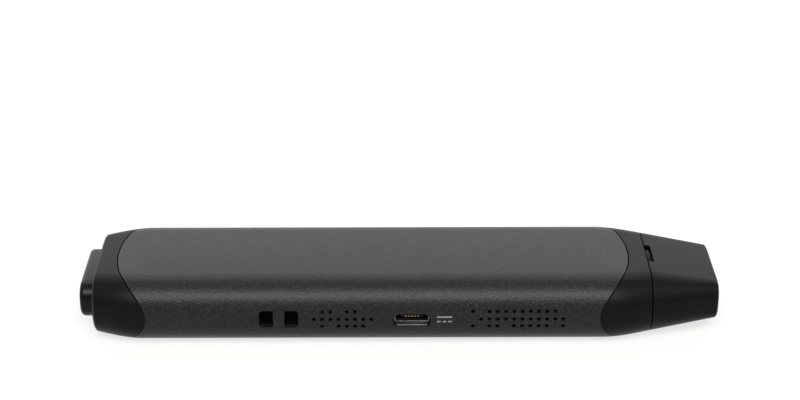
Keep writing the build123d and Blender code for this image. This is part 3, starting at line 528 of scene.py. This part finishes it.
lip = socket_lip("power_socket_lip", "power_shell")
print("lip reaches", round((lip.data.vertices[0].co.y - LOW.y) / MM, 2), "mm from the widest point")

# %% [markdown]
# Five flat springs run through the socket's tongue, side by side at an even step, and their ends
# show at its front. Geometry Nodes make such a row: a line of points, one small strip on each,
# made real at the end, because the export keeps no instances.


# %% Contacts of the power socket
CONTACT_COUNT = 5
CONTACT_STEP = 0.65 * MM
CONTACT_SIZE = (0.36 * MM, 3.4 * MM, 0.16 * MM)
CONTACT_NOSE = 0.05 * MM


def new_tree(name, inputs):
    """A tree with the named inputs, besides Middle and Material, and ways to add and finish."""
    tree = bpy.data.node_groups.new(name, "GeometryNodeTree")
    tree.interface.new_socket("Geometry", in_out="OUTPUT", socket_type="NodeSocketGeometry")
    for label, kind in {**inputs, "Middle": "Vector", "Material": "Material"}.items():
        tree.interface.new_socket(label, in_out="INPUT", socket_type="NodeSocket" + kind)
    sizes = tree.nodes.new("NodeGroupInput").outputs
    result = tree.nodes.new("NodeGroupOutput").inputs[0]

    def add(kind, links, **settings):
        made = tree.nodes.new(kind)
        for label, value in settings.items():
            setattr(made, label, value)
        for label, source in links.items():
            tree.links.new(source, made.inputs[label])
        return made.outputs

    def finish(instances):
        real = add("GeometryNodeRealizeInstances", {"Geometry": instances})
        moved = add("GeometryNodeTransform", {"Geometry": real[0], "Translation": sizes["Middle"]})
        coloured = add(
            "GeometryNodeSetMaterial", {"Geometry": moved[0], "Material": sizes["Material"]}
        )
        tree.links.new(coloured[0], result)

    return tree, sizes, add, finish


def contact_row_tree():
    inputs = {"Count": "Int", "Step": "Vector", "Start": "Vector", "Size": "Vector"}
    tree, sizes, add, finish = new_tree("contact_row", inputs)
    line = add(
        "GeometryNodeMeshLine",
        {"Count": sizes["Count"], "Start Location": sizes["Start"], "Offset": sizes["Step"]},
    )
    strip = add("GeometryNodeMeshCube", {"Size": sizes["Size"]})
    row = add("GeometryNodeInstanceOnPoints", {"Points": line[0], "Instance": strip["Mesh"]})
    finish(row[0])
    return tree


def grown_piece(name, tree, values, node):
    """Run a tree with its values and keep the result as a plain mesh on the node's body."""
    piece = placed(name, bpy.data.meshes.new(name))
    grower = piece.modifiers.new("grow", "NODES")
    grower.node_group = tree
    for socket in tree.interface.items_tree:
        if socket.in_out == "INPUT":
            grower[socket.identifier] = values[socket.name]
    apply_modifiers(piece)
    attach(piece, body_of_node[node])
    return piece


tongue_low, tongue_high = (Vector(corner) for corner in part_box("power_tongue"))
contacts = grown_piece(
    "power_contacts",
    contact_row_tree(),
    {
        "Count": CONTACT_COUNT,
        "Step": (CONTACT_STEP, 0.0, 0.0),
        "Start": (-CONTACT_STEP * (CONTACT_COUNT - 1) / 2, 0.0, 0.0),
        "Size": CONTACT_SIZE,
        "Middle": (
            (tongue_low.x + tongue_high.x) / 2,
            tongue_low.y - CONTACT_NOSE + CONTACT_SIZE[1] / 2,
            (tongue_low.z + tongue_high.z) / 2 + CONTACT_SIZE[2] / 4,
        ),
        # The contacts' gold is darkened: painted shade for the inside of the socket's mouth.
        "Material": drawn_metal("shaded_gold", (0.42, 0.29, 0.13), 0.3),
    },
    "power_tongue",
)
print("contacts", len(contacts.data.polygons) // 6)

# %% [markdown]
# The sleeve carries a small printed mark beside each socket: plain numbers on one side, and at the
# power socket a straight line over three short ones, the common sign for direct current.
#
# A print lies on a curved wall. Each mark is drawn flat and cut into low strips, so that it can
# bend. Then every corner of it is dropped on the wall by casting a ray at it from outside. The
# ink is a few hundredths of a millimetre thick.


# %% Printed marks
INK_THICKNESS = 0.04 * MM
NUMBER_HEIGHT = 1.7 * MM
DIGIT_SHARE = 0.7
NUMBER_PLACES = {"1": 10.8 * MM, "2": -10.6 * MM, "3": -30.7 * MM}
CURRENT_SIGN_X = 9.6 * MM
SIGN_WIDTH = 3.2 * MM
LINE_WIDTH = 0.34 * MM
LINE_GAP = 0.55 * MM
DASH_SHARE = 0.24
WALL_CUTS = 4

ink = moulded("mark_ink", (0.18, 0.18, 0.177), 0.5)
sleeve_mesh = finished["outer_sleeve"].data
wall = BVHTree.FromPolygons(
    [corner.co for corner in sleeve_mesh.vertices],
    [tuple(face.vertices) for face in sleeve_mesh.polygons],
)


def flat_number(text):
    """A digit drawn flat around its own middle."""
    curve = bpy.data.curves.new("number_" + text, "FONT")
    curve.body = text
    curve.size = NUMBER_HEIGHT / DIGIT_SHARE
    curve.align_x = "CENTER"
    curve.align_y = "CENTER"
    letter = bpy.data.objects.new("number_" + text, curve)
    flat = bpy.data.meshes.new_from_object(letter)
    bpy.data.objects.remove(letter)
    return flat


def flat_bars(bars):
    """Flat rectangles, each given by its middle and its size."""
    flat = bpy.data.meshes.new("current_sign")
    corners = []
    for x, y, width, height in bars:
        corners += [
            (x + across * width / 2, y + up * height / 2, 0)
            for across, up in ((-1, -1), (1, -1), (1, 1), (-1, 1))
        ]
    flat.from_pydata(corners, [], [tuple(range(4 * bar, 4 * bar + 4)) for bar in range(len(bars))])
    return flat


def print_on_wall(name, flat, x, side):
    """Lay a flat mark on the sleeve's wall; side is -1 for the wall that the camera sees."""
    work = bmesh.new()
    work.from_mesh(flat)
    for cut in range(1 - WALL_CUTS, WALL_CUTS):
        bmesh.ops.bisect_plane(
            work,
            geom=work.verts[:] + work.edges[:] + work.faces[:],
            plane_co=(0, cut * NUMBER_HEIGHT / 2 / WALL_CUTS, 0),
            plane_no=(0, 1, 0),
        )
    grown = bmesh.ops.extrude_face_region(work, geom=work.faces[:])["geom"]
    raised = {item for item in grown if isinstance(item, bmesh.types.BMVert)}
    for corner in work.verts:
        place_x = x - side * corner.co.x
        place_z = MIDDLE.z + corner.co.y
        start = Vector((place_x, 2 * side * HIGH.y, place_z))
        hit = wall.ray_cast(start, Vector((0, -side, 0)))[0]
        lift = INK_THICKNESS / 2 if corner in raised else -INK_THICKNESS / 2
        corner.co = hit + Vector((0, side * lift, 0))
    bmesh.ops.recalc_face_normals(work, faces=work.faces)
    mesh = bpy.data.meshes.new(name)
    work.to_mesh(mesh)
    work.free()
    mesh.materials.append(ink)
    mark = placed(name, mesh)
    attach(mark, body_of_node["outer_sleeve"])
    return mark


dash_pitch = SIGN_WIDTH * (1 - DASH_SHARE) / 2
sign_bars = [(0, LINE_GAP, SIGN_WIDTH, LINE_WIDTH)]
sign_bars += [
    (step * dash_pitch, -LINE_GAP, SIGN_WIDTH * DASH_SHARE, LINE_WIDTH) for step in (-1, 0, 1)
]
marks = [print_on_wall("current_sign", flat_bars(sign_bars), CURRENT_SIGN_X, -1)]
for text, x in NUMBER_PLACES.items():
    marks.append(print_on_wall("port_number_" + text, flat_number(text), x, 1))
print("printed", [mark.name for mark in marks])

# %% [markdown]
# The radio module inside is a small board of its own, soldered down by a row of gilded half
# rounds along its edges. They repeat at an even step round a rectangle, which is a task for
# Geometry Nodes: the tree draws the rectangle, divides it at the step, sets a small pad on each
# point and turns it along the edge.


# %% Edge pads of the radio module
PAD_STEP = 1.1 * MM
PAD_SIZE = (0.6 * MM, 0.36 * MM, 0.8 * MM)


def edge_pads_tree():
    inputs = {"Length": "Float", "Width": "Float", "Step": "Float", "Pad Size": "Vector"}
    tree, sizes, add, finish = new_tree("edge_pads", inputs)
    edge = add(
        "GeometryNodeCurvePrimitiveQuadrilateral",
        {"Width": sizes["Length"], "Height": sizes["Width"]},
    )
    points = add(
        "GeometryNodeResampleCurve", {"Curve": edge[0], "Length": sizes["Step"]}, mode="LENGTH"
    )
    pad = add("GeometryNodeMeshCube", {"Size": sizes["Pad Size"]})
    along = add("GeometryNodeInputTangent", {})
    turn = add("FunctionNodeAlignRotationToVector", {"Vector": along[0]}, axis="X")
    pads = add(
        "GeometryNodeInstanceOnPoints",
        {"Points": points[0], "Instance": pad["Mesh"], "Rotation": turn[0]},
    )
    finish(pads[0])
    return tree


module_low, module_high = (Vector(corner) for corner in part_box("wifi_module"))
module_size = module_high - module_low
pads = grown_piece(
    "radio_edge_pads",
    edge_pads_tree(),
    {
        "Length": module_size.x,
        "Width": module_size.y,
        "Step": PAD_STEP,
        "Pad Size": PAD_SIZE,
        "Middle": (
            (module_low.x + module_high.x) / 2,
            (module_low.y + module_high.y) / 2,
            module_low.z + PAD_SIZE[2] / 2,
        ),
        "Material": finishes["gold_contact"],
    },
    "wifi_module",
)
print("edge pads", len(pads.data.polygons) // 6)

# %% [markdown]
# A stick on a white table under soft studio light: a low wide lamp behind it makes the pale sheen
# on top, a higher one carries that sheen a little way down the shoulder, and a strip in front
# makes the band of light below. The table and the air behind it are white to the camera and to
# shiny surfaces, and add little light of their own. The room on the camera's side is dimmer, and
# the stick's side walls mirror it above the white table.


# %% Table, air and lamps
TABLE_SIZE = 3.0
TABLE_GREY = (0.8, 0.8, 0.8)
TABLE_GLOW = 0.72
WHITE = (1.0, 1.0, 1.0)
WARM_WHITE = (1.0, 0.985, 0.955)
LAMP_DISTANCE = 0.9
AIR_LIGHT = 0.35
FRONT_SHINE = 0.45
FRONT_EDGE = -0.5
FRONT_SOFTNESS = 0.3


def ray_is(shading, kind):
    """1 for a ray of one kind and 0 for the others."""
    return shading.node("ShaderNodeLightPath", output="Is " + kind + " Ray")


def table_finish():
    """White to the camera, with the stick's shadow, and a pale grey to everything else."""
    finish = Finish("table_white", base_color=TABLE_GREY, roughness=0.9, specular_ior_level=0.0)
    camera_ray = ray_is(finish, "Camera")
    share = TABLE_GLOW * camera_ray.maths("MAXIMUM", camera_ray, ray_is(finish, "Glossy"))
    glow = finish.node("ShaderNodeEmission", None, {"Color": WHITE, "Strength": 1.0})
    mixed = finish.node("ShaderNodeMixShader", None, {0: share, 2: glow})
    links = finish.tree.links
    links.new(finish.shader.outputs[0], mixed.socket.node.inputs[1])
    links.new(mixed.socket, finish.tree.nodes["Material Output"].inputs["Surface"])
    return finish.material


bpy.ops.mesh.primitive_plane_add(size=TABLE_SIZE, location=(0, 0, LOW.z))
table = bpy.context.object
table.name = "table"
table.data.materials.append(table_finish())

world = bpy.data.worlds.new("air")
world.use_nodes = True
background = world.node_tree.nodes["Background"]
air = Shading(world.node_tree)
direction = air.node("ShaderNodeTexCoord", output="Generated")
backward = air.node("ShaderNodeSeparateXYZ", None, {"Vector": direction}, output="Y")
pale = backward.above(FRONT_EDGE, FRONT_SOFTNESS)
camera_ray = ray_is(air, "Camera")
seen = camera_ray.maths("MAXIMUM", camera_ray, ray_is(air, "Transmission"))
shine = (FRONT_SHINE - AIR_LIGHT) + (1 - FRONT_SHINE) * pale
strength = AIR_LIGHT + (1 - AIR_LIGHT) * seen + ray_is(air, "Glossy") * shine
air.join(strength, background.inputs["Strength"])
air.join(WHITE, background.inputs["Color"])
bpy.context.scene.world = world


def soft_lamp(name, angle_from_up, width, depth, power, color=WHITE):
    """A flat lamp over the stick; its angle is from straight up, towards the camera's side."""
    data = bpy.data.lights.new(name, "AREA")
    data.shape = "RECTANGLE"
    data.size = width
    data.size_y = depth
    data.energy = power
    data.color = color
    lamp = placed(name, data)
    angle = math.radians(angle_from_up)
    lamp.location = MIDDLE + LAMP_DISTANCE * Vector((0, -math.sin(angle), math.cos(angle)))
    lamp.rotation_euler = (MIDDLE - lamp.location).to_track_quat("-Z", "X").to_euler()


soft_lamp("back_lamp", -67, 0.36, 1.4, 1.9)
soft_lamp("high_back_lamp", -35, 0.3, 1.4, 3.6)
soft_lamp("front_strip", 40, 0.4, 0.9, 12.0, WARM_WHITE)
print("lit by", [light.name for light in bpy.data.lights])
